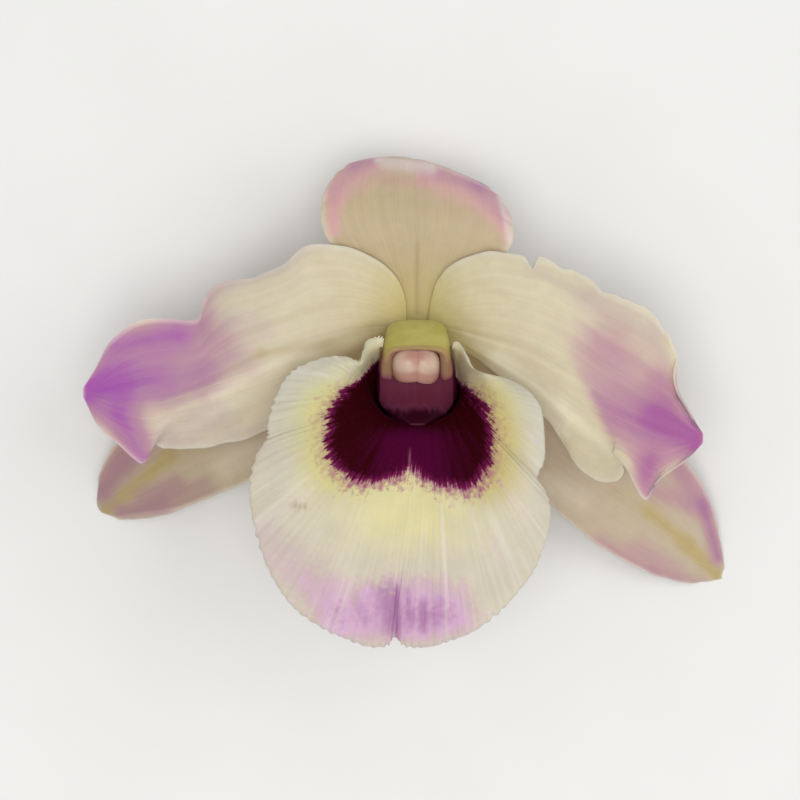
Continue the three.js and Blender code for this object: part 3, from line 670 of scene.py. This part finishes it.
def makeLip():
    # The lip as one closed skin, with the fields that its colours follow
    t, v = grid(*lip["grid"], edge=0.0)
    t = t ** 0.85  # closer together towards the margin
    middle = lipMiddle(t, v)
    x, y = middle[..., 0], middle[..., 1]
    turn = np.abs(aroundEye(middle)[0])
    depth = eyeDepth(middle)
    values = {
        "eye": depth * (1 + 2 * step(turn, 115, 132)),
        "rim": step(t, 0.68, 0.95) * (1 - step(np.abs(v), 0.94, 1.0)),
        "glow": bump(x + 0.9, 0, 8.4) * step(-y, 10, 14) * step(y, -27.0, -18.0),
        "ring": 0.92 * (1 - step(-depth, 0.2, 6.2)) * (1 - 0.4 * step(turn, 108, 128)) * step(turn, 15, 60),
        "amber": step(x, -3, 5),
        "heart": bump(x + 0.4, 0, 4.5) * step(-y, 9.5, 11.5),
        "mist": 0.42 + 0.5 * step(70 - turn, 0, 25),
        "flap": step(np.abs(v), 0.9, 0.95),
        "thread": bump(x + 0.9, 0, 0.13) * step(-y, 12.3, 13.3) * step(y, -15.6, -14.2),
    }
    values.update({key: brushed(lip[key], middle) for key in ("veil", "apex", "stripe", "freckle")})
    uv = np.stack([(v + 1) / 2, t], -1)
    thin = 1 - 0.8 * step(np.abs(v), 0.45, 0.6) * step(t, 0.5, 0.85)  # towards the flaps at the sides
    thickness = lip["thickness"] * tapered((t, 50), (v, 60)) * thin
    piece = shell("lipBlade", middle, thickness, lipMaterial(), uv, values)
    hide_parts("lip")
    print("made lipBlade", len(piece.data.polygons))
    return middle, thickness


# Down: thousands of fine dark hairs round the eye's edge. They grow where the lip is higher than "above" and
# up to "sweep" degrees from straight down.
down = {
    "tries": 60000, "count": 9000, "above": 2, "sweep": 126,
    "length": (0.14, 0.42), "radius": 0.026, "droop": 0.12,
    "rings": ((0, 1.0), (0.55, 0.75)),  # share of the length, share of the radius
    "corners": (0, 2.094, 4.189),       # thirds of a turn
}


def makeDown(middle, thickness):
    # Hairs rooted at random points of the lip, leaning away from the eye: two rings of three points and a tip
    rows, columns = middle.shape[:2]
    normal = -normals(middle)
    normal *= np.sign(normal[rows // 2, columns // 2, 2])
    i = rng.integers(rows // 4, rows - 2, down["tries"])
    j = rng.integers(8, columns - 8, down["tries"])
    root, up, skin = middle[i, j], normal[i, j], thickness[i, j]
    angle = aroundEye(root)[0]
    depth = eyeDepth(root) + rng.normal(0, 0.12, len(i)) + 0.28 * hum(angle / 360, (29, 47, 67, 93), 41)
    keep = rng.random(len(i)) < bump(depth, 0.25, 0.3) + 0.12 * step(depth, 0.3, 1.0)
    keep &= (root[:, 2] > down["above"]) & (np.abs(angle) < down["sweep"])
    root, up, skin = (part[keep][:down["count"]] for part in (root, up, skin))
    away = unit((root - np.array([*lip["eyeMiddle"], 0])) * [1, 1, 0])
    lean = away * rng.uniform(0.8, 2.4, (len(root), 1)) + rng.normal(0, 0.3, root.shape)
    way = unit(up + lean)
    length = rng.uniform(*down["length"], (len(root), 1))
    side = unit(np.cross(way, [0.31, 0.52, 0.8]))
    other = np.cross(way, side)
    base = root + up * skin[:, None] * 0.4  # just under the skin
    points = []
    for share, width in down["rings"]:
        at = base + way * length * share - up * down["droop"] * length * share ** 2
        for turn in down["corners"]:
            points.append(at + (side * math.cos(turn) + other * math.sin(turn)) * down["radius"] * width)
    points.append(base + way * length - up * down["droop"] * length)
    first = np.arange(len(root))[:, None] * len(points)
    quads = np.concatenate([first + np.array([[k, (k + 1) % 3, (k + 1) % 3 + 3, k + 3]]) for k in range(3)])
    tips = np.concatenate([first + np.array([[k + 3, (k + 1) % 3 + 3, 6]]) for k in range(3)])
    feet = first + np.array([[2, 1, 0]])
    material = tissue("lip_down", rough=0.6, depth=0.0, gloss=0.08)
    maroon, plum = (0.04, 0.0008, 0.012), (0.15, 0.006, 0.07)
    dress(coat(maroon, (cloud(900, 1.0), 0.3, 0.7, plum)))
    piece = addMesh("lipDown", np.stack(points, 1), [quads, tips, feet], material)
    print("made lipDown", len(root), "hairs")


# The column in its own directions: across, towards its back and along it. Its foot is in the flower's frame.
column = {
    "from": -1.2, "to": 8.6, "steps": 100, "sides": 112,
    # half width, height of the back and depth of the underside, at even steps
    "profile": [[1.7, 0.35, 1.3], [2.7, 1, 1.6], [3.15, 1.75, 2], [3.3, 2.3, 2.3], [3.4, 2.4, 2.5],
        [3.5, 2.05, 2.6], [3.5, 1.5, 2.4]],
    # half width and roof of the channel, where it starts and how long it is
    "channel": [[0.8, 0.1], [2, 0.5], [2.36, 0.8], [2.4, 0.9], [2.4, 0.9]],
    "channelFrom": 3.2, "channelLength": 5,
    "rim": 0.45, "lift": 0.45,  # how far its front edge rounds off, forwards and up from under the channel
    # x, y, z, half width and half thickness of the foot
    "foot": [[0, -0.6, -3.9, 2.6, 1.3], [-0.05, -3.2, -4.6, 3.3, 2.6], [-0.1, -5.6, -4.7, 3.65, 3.1],
        [-0.1, -7.6, -5.3, 3, 2], [-0.05, -8.6, -7.1, 1.6, 0.8]],
    # the same for the smooth tongue over it, which runs up the floor of the lip's tube
    "tongue": [[-0.05, -1.2, -3.3, 3, 0.8], [-0.1, -3.1, -2.8, 3.9, 0.9], [-0.1, -5, -2.4, 4.25, 0.9],
        [-0.1, -7, -1.9, 4.2, 0.85], [-0.1, -8.6, -0.5, 3.2, 0.65], [-0.1, -9.45, 1.5, 1.9, 0.4],
        [-0.1, -9.95, 3.6, 0.8, 0.2]],
}


def onColumn(across, back, along):
    # A point given across, towards the back of, and along the leaning column
    lean = flower["columnLean"]
    x, y, z = flower["columnRoot"]
    return np.stack(np.broadcast_arrays(
        x + across,
        y + back * math.cos(lean) - along * math.sin(lean),
        z + back * math.sin(lean) + along * math.cos(lean),
    ), -1)


def columnRings():
    # Each ring runs from one arm's edge over the back to the other's, and returns along the underside,
    # which is round at the root and opens into a channel towards the front
    t = np.linspace(0, 1, column["steps"])
    half, back, under = spline(column["profile"], t).T
    along = column["from"] + t * (column["to"] - column["from"])
    start = column["channelFrom"]
    share = step(along, start - 0.4, start + 1.6)
    inner, roof = spline(column["channel"], (along - start) / column["channelLength"]).T
    over = [[x * half, y * back] for x, y in ((1, 0), (0.95, 0.52), (0.76, 0.84), (0.42, 0.97))]
    closed = [[x * half, y * under] for x, y in ((0.5, -1), (0.86, -0.85), (0.98, -0.42))]
    opened = [[(half + inner) / 2, -under], [1.04 * half, -0.87 * under], [1.06 * half, -0.4 * under]]
    closedIn = [[x * half, -under] for x in (0.43, 0.35, 0.26, 0.17, 0.09)]
    openedIn = [[1.04 * inner, -0.9 * under], [inner, -0.4 * under], [0.98 * inner, 0.25 * roof],
                [0.86 * inner, 0.75 * roof], [0.5 * inner, 0.97 * roof]]
    inside, outside = ([np.array(c) + share * (np.array(o) - c) for c, o in zip(*pair)]
                       for pair in ((closedIn, openedIn), (closed, opened)))
    outside += [np.array(p) for p in over]
    top, bottom = np.array([0 * half, back]), np.array([0 * half, (roof + under) * share - under])
    flip = np.array([[-1], [1]])
    mirrored = [p * flip for p in outside[::-1] + inside]
    nodes = [*outside, top, *mirrored, bottom, *inside[::-1]]
    count, arch, sides = len(nodes), 2 * len(outside), column["sides"] // 2
    nodes = np.array(nodes[-1:] + nodes + nodes[:2]).reshape(count + 3, -1)
    at = np.concatenate([np.linspace(0, arch, sides + 1)[:-1], np.linspace(arch, count, sides + 1)[:-1]])
    ring = spline(nodes, (1 + at) / (count + 2)).reshape(-1, 2, len(t)).transpose(2, 0, 1)
    rings = np.concatenate([ring, np.repeat(along[:, None, None], ring.shape[1], 1)], -1)
    mirror = np.roll(ring[-1, ::-1], 1, axis=0)
    ends = []  # the rounded front edge: the last ring, drawn more and more towards its mirror image
    for w in np.sin(np.linspace(0.15, 1, 9) * np.pi / 2):
        drawn = 1 - math.sqrt(max(1 - w * w, 0.0004))
        shut = ring[-1] + (mirror - ring[-1]) * 0.5 * drawn
        shut[:, 1] += column["lift"] * drawn * step(-shut[:, 1], 1.0, 2.4)
        ends.append(np.concatenate([shut, np.full((len(shut), 1), column["to"] + column["rim"] * w)], -1))
    return np.concatenate([rings, ends])


def columnMaterial():
    # Olive over the back, rosy brown down the arms and at the rim, where it is also painted shade that dulls
    # the rim's highlight, mauve on the foot, plum where that dips
    material = tissue("column_skin", rough=0.5, depth=0.35, gloss=0.2)
    olive, pale, arm = (0.43, 0.37, 0.09), (0.49, 0.425, 0.125), (0.29, 0.16, 0.095)
    mauve, mulberry, plum = (0.20, 0.03, 0.07), (0.215, 0.04, 0.10), (0.058, 0.0006, 0.017)
    mottle, streaks, grain = cloud(500, 3.0), cloud((1500, 160, 160), 3.0), cloud(3000)
    # the arms' own rosy brown, and at the front rim painted shade
    rosy = plus("arm", (swing(mottle), 0.5))
    low = times(plus("low", (swing(streaks), 1.8)), "foot")
    tint = coat(olive, (mottle, 0.3, 0.7, pale), (rosy, 0.1, 1.0, arm), ("foot", 0.0, 1.0, mauve),
                (low, 0.0, 0.4, mulberry), (low, 0.3, 0.95, plum))
    dress(tint, grain, 0.25, 0.00006)
    return material


def squared(x):
    # A sine or cosine drawn out towards a square's corners
    return np.sign(x) * np.abs(x) ** 0.8


def strapRings(rows):
    # A strap along a path in the plane x = const: rounded rectangles set square to the path
    rows = spline(rows, np.linspace(0, 1, 64))
    path, wide, deep = rows[:, :3], rows[:, 3:4], rows[:, 4]
    ahead = unit(np.gradient(path, axis=0))
    thick = np.stack([0 * ahead[:, 0], -ahead[:, 2], ahead[:, 1]], -1)
    turn = np.linspace(0, 2 * np.pi, 64, endpoint=False)
    strap = path[:, None] + np.array([1.0, 0, 0]) * (wide * squared(np.cos(turn)))[..., None]
    return strap - thick[:, None] * (deep[:, None] * squared(np.sin(turn)))[..., None]


def makeColumn():
    # The column's rings and the two straps of its foot as one piece
    ring = columnRings()
    across, back, along = np.moveaxis(ring, -1, 0)
    inside = np.arange(column["sides"])[None, :] > column["sides"] // 2
    # the front rim's darker tone is painted shade over its highlight; the rest is the arms' own rosy brown
    arm = np.max([step(-back, -1.5, 1.0) * step(along, 2.0, 7.0), inside * step(along, 3.0, 4.2),
                  0.65 * step(along, 8.2, 9.0)], axis=0)
    body, faces = loft(onColumn(across, back, along))
    points = [body]
    for name in ("foot", "tongue"):
        strap, parts = loft(strapRings(column[name]))
        faces += [part + sum(len(one) for one in points) for part in parts]
        points.append(strap)
    foot = np.concatenate(points[1:])
    dip = np.maximum(1.2 * step(-foot[:, 1], 7.4, 9.6), step(np.abs(foot[:, 0] + 0.2), 3.3, 4.2))
    mauve = 0.6 * step(-back, 1.0, 2.5) * step(along, 5.0, 7.0)
    low = 0.35 * step(-back, 1.3, 2.5)
    ones = np.ones_like(dip)
    pairs = {"arm": (arm, ones), "foot": (mauve, ones), "low": (low, dip)}
    values = {key: np.concatenate([first.ravel(), last]) for key, (first, last) in pairs.items()}
    piece = addMesh("columnBody", np.concatenate(points), faces, columnMaterial(), None, values)
    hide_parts("column")
    print("made columnBody", len(piece.data.polygons))


# The anther cap: a two-lobed helmet over the pollen, open underneath
cap = {
    "at": (-0.08, -0.72, 8.6), "half": (2.3, 1.75, 1.7), "wall": 0.3, "grid": 110,
    "sweep": math.radians(128), "groove": ((0.03, 0.12), (0.05, 0.5)), "droop": 0.12,
}


def makeCap():
    # A grid wrapped over a sphere and pushed out to a rounded box, drawn in along its middle into two lobes
    s, t = grid(cap["grid"], cap["grid"], edge=0.0)
    s = s * 2 - 1
    x, y = s * np.sqrt(1 - t * t / 2), t * np.sqrt(1 - s * s / 2)
    reach = np.hypot(x, y)
    polar = reach * cap["sweep"]
    across, along = (np.sin(polar) * axis / (reach + 1e-9) for axis in (x, y))
    back = np.cos(polar)
    a, b, c = cap["half"]
    (deep, narrow), (shallow, wide) = cap["groove"]
    part = 1 - deep * bump(across * a, 0.1, narrow) - shallow * bump(across * a, 0.05, wide)
    box = (np.abs(across) ** 3 + np.abs(back) ** 3 + np.abs(along) ** 3) ** (-1 / 3)
    x0, y0, z0 = cap["at"]
    droop = cap["droop"] * step(across, -0.5, 0.6) * (1 - back)  # the right lobe hangs a little lower
    middle = onColumn(x0 + a * across * box, y0 + b * back * box * part - droop, z0 + c * along * box * part)
    material = tissue("anther_skin", rough=0.33, depth=0.45, gloss=0.5)
    blossom, peach, rose = (0.60, 0.44, 0.34), (0.55, 0.385, 0.295), (0.44, 0.22, 0.17)
    mottle, grain = cloud(900, 3.0), cloud(4200)
    # the rose tint is partly the cap's own pink and partly painted shade at its top and underside
    rosy = plus("rose", (swing(mottle), 0.3))
    tint = coat(blossom, (mottle, 0.25, 0.75, peach), (rosy, 0.05, 1.1, rose))
    dress(tint, grain, 0.2, 0.00005)
    # rose at the top: the cap's pink, deepened as painted shade from the hood; towards and under the bottom:
    # painted shade where the cap curves under
    top = 0.9 * step(back, 0.1, 0.9) * bump(across, 0, 0.9) + 0.35 * bump(across, 0, 0.25)
    low = step(-back, 0.0, 0.9)
    values = {"rose": np.clip(top + 0.9 * step(polar, 1.25, 1.9) + 0.7 * low, 0, 1)}
    skin = np.full(s.shape, cap["wall"])
    piece = shell("antherCap", middle, skin, material, np.stack([s, t], -1), values)
    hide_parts("anther_cap")
    print("made antherCap", len(piece.data.polygons))


# The pollen clubs: their middle on the column, each one's place across it, half sizes and grid
clubs = {
    "at": (-0.1, -1.35, 7.7), "across": (-0.9975, -0.3515, 0.3515, 0.9975), "half": (0.33, 0.6, 0.9),
    "grid": 24,
}


def makePollinia():
    # Four waxy clubs, two side by side in each half of the cap: ellipsoids, flatter towards one end
    polar = np.linspace(0.06, 0.94, clubs["grid"])[:, None] * np.pi
    turn = np.linspace(0, 2 * np.pi, clubs["grid"], endpoint=False)
    x, y, z = clubs["at"]
    a, b, c = clubs["half"]
    points, faces = [], []
    for k, side in enumerate(clubs["across"]):
        across = x + side + a * np.sin(polar) * np.cos(turn)
        back = y + b * np.sin(polar) * np.sin(turn) * (1 - 0.2 * np.cos(polar))
        body, parts = loft(onColumn(across, back, z - c * np.cos(polar)))
        points.append(body)
        faces += [part + k * len(body) for part in parts]
    material = tissue("pollen_wax", rough=0.35, depth=0.2, gloss=0.5)
    amber, honey = (0.72, 0.42, 0.04), (0.80, 0.58, 0.12)
    dress(blend(cloud(1500), amber, honey))
    piece = addMesh("pollenClubs", np.concatenate(points), faces, material)
    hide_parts("pollinia")
    print("made pollenClubs")


# The stalk with the receptacle at its top: x, y, z and radius
stalk = {
    "rows": [[0, 0.55, -4.25, 1.5], [0, 0.58, -4.6, 2.2], [0, 0.6, -5.1, 2.45], [0, 0.62, -5.9, 2.1],
        [0, 0.75, -6.9, 1.6], [0, 0.9, -8.2, 1.6], [0, 0.4, -10.9, 1.5], [0, -2.1, -13, 1.25],
        [0.2, -6.4, -13.6, 1.12], [0.6, -13, -13.65, 1.08], [0.4, -21, -13.65, 1.08],
        [-0.4, -29.4, -13.6, 1.2]],
    "grid": (320, 60), "furrows": 0.06, "ridges": 0.03, "pinch": 0.12, "overFloor": 0.05,
}


def makeStalk():
    # A round stem with three furrows that twist slowly, fine ridges and a slightly pinched cut end
    rows, sides = stalk["grid"]
    t = np.linspace(0, 1, rows)[:, None]
    path = spline(stalk["rows"], t[:, 0])
    line, radius = path[:, :3], path[:, 3:]
    ahead = unit(np.gradient(line, axis=0))
    side = unit(np.array([1.0, 0, 0]) - ahead * ahead[:, :1])
    up = np.cross(ahead, side)
    turn = np.linspace(0, 2 * np.pi, sides, endpoint=False)[None, :]
    stem = step(t, 0.2, 0.35)  # below the receptacle
    girth = radius * (1 + stalk["furrows"] * stem * np.cos(3 * turn + 1.5 * t))
    girth += stalk["ridges"] * stem * np.cos(15 * turn + 2 * t)
    girth *= 1 - stalk["pinch"] * step(t, 0.985, 1.0)
    ring = line[:, None] + side[:, None] * (girth * np.cos(turn))[..., None]
    ring += up[:, None] * (girth * np.sin(turn))[..., None]
    ring[..., 2] = np.maximum(ring[..., 2], flower["floor"] + stalk["overFloor"])
    points, faces = loft(ring)
    uv = np.stack(np.broadcast_arrays(turn / (2 * np.pi), t), -1)
    material = tissue("stalk_skin", rough=0.42, depth=0.25, gloss=0.4)
    green, pale, russet, cut = (0.40, 0.44, 0.16), (0.55, 0.56, 0.30), (0.42, 0.30, 0.22), (0.28, 0.22, 0.09)
    streak, mottle = cloud((22.0, 2.0), 3.0), cloud(500, 3.0)
    tint = coat(green, (streak, 0.3, 0.7, pale))
    tint = blend(times(smooth(mottle, 0.45, 0.7), 0.4), tint, russet)
    tint = coat(tint, ("along", 0.985, 0.998, cut))
    dress(tint, plus(streak, (mottle, 1.0)), 0.3, 0.0001)
    values = {"along": np.broadcast_to(t, (rows, sides))}
    piece = addMesh("stalkAndOvary", points, faces, material, uv, values)
    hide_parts("pedicel_ovary")
    print("made stalkAndOvary", len(piece.data.polygons))


# In metres. The camera looks straight down on the bloom, which lies on its back.
studio = {
    "cameraAt": (-0.00109, -0.0005, 0.335), "lens": 137.1, "sensor": 36.0,
    "floorHalf": 0.6, "floorAt": -2e-5, "worldLight": 0.6,
    # place, size, power and tint of each soft panel
    "panels": [[(-0.05, -0.12, 0.75), 0.45, 2.3, (1.0, 0.98, 0.95)],
               [(0.4, 0.1, 0.5), 0.5, 0.8, (0.97, 0.98, 1.0)]],
}


def makeStudio():
    # Camera, white surroundings, a pale table top and soft round panels that shine on the flower
    scene = bpy.context.scene
    scene.view_settings.view_transform = "Standard"
    camera = bpy.data.objects.new("camera", bpy.data.cameras.new("camera"))
    camera.data.lens = studio["lens"]
    camera.data.sensor_width = studio["sensor"]
    camera.data.clip_start = 0.01
    camera.location = studio["cameraAt"]
    scene.camera = camera
    world = bpy.data.worlds.new("studioWorld")
    world.use_nodes = True
    background = world.node_tree.nodes["Background"]
    background.inputs["Color"].default_value = (1, 1, 1, 1)
    background.inputs["Strength"].default_value = studio["worldLight"]
    scene.world = world
    mesh = bpy.data.meshes.new("tableTop")
    corners = [(x * studio["floorHalf"], y * studio["floorHalf"], studio["floorAt"]) for x, y in
               ((-1, -1), (1, -1), (1, 1), (-1, 1))]
    mesh.from_pydata(corners, [], [(0, 1, 2, 3)])
    material = newMaterial("tableTop", (0.80, 0.80, 0.79), 0.7)
    dress(blend(cloud(60, 3.0), (0.78, 0.78, 0.77), (0.83, 0.83, 0.82)))  # two near whites
    mesh.materials.append(material)
    table = bpy.data.objects.new("tableTop", mesh)
    for thing in (camera, table):
        scene.collection.objects.link(thing)
    for k, (at, size, power, tint) in enumerate(studio["panels"]):
        panel = bpy.data.objects.new(f"panel{k}", bpy.data.lights.new(f"panel{k}", "AREA"))
        panel.data.shape, panel.data.size, panel.data.energy, panel.data.color = "DISK", size, power, tint
        panel.location = at
        panel.rotation_euler = (-Vector(at)).to_track_quat("-Z", "Y").to_euler()
        scene.collection.objects.link(panel)
    print("made studio")


makeStudio()
makeBlades()
makeDown(*makeLip())
makeColumn()
makeCap()
makePollinia()
makeStalk()
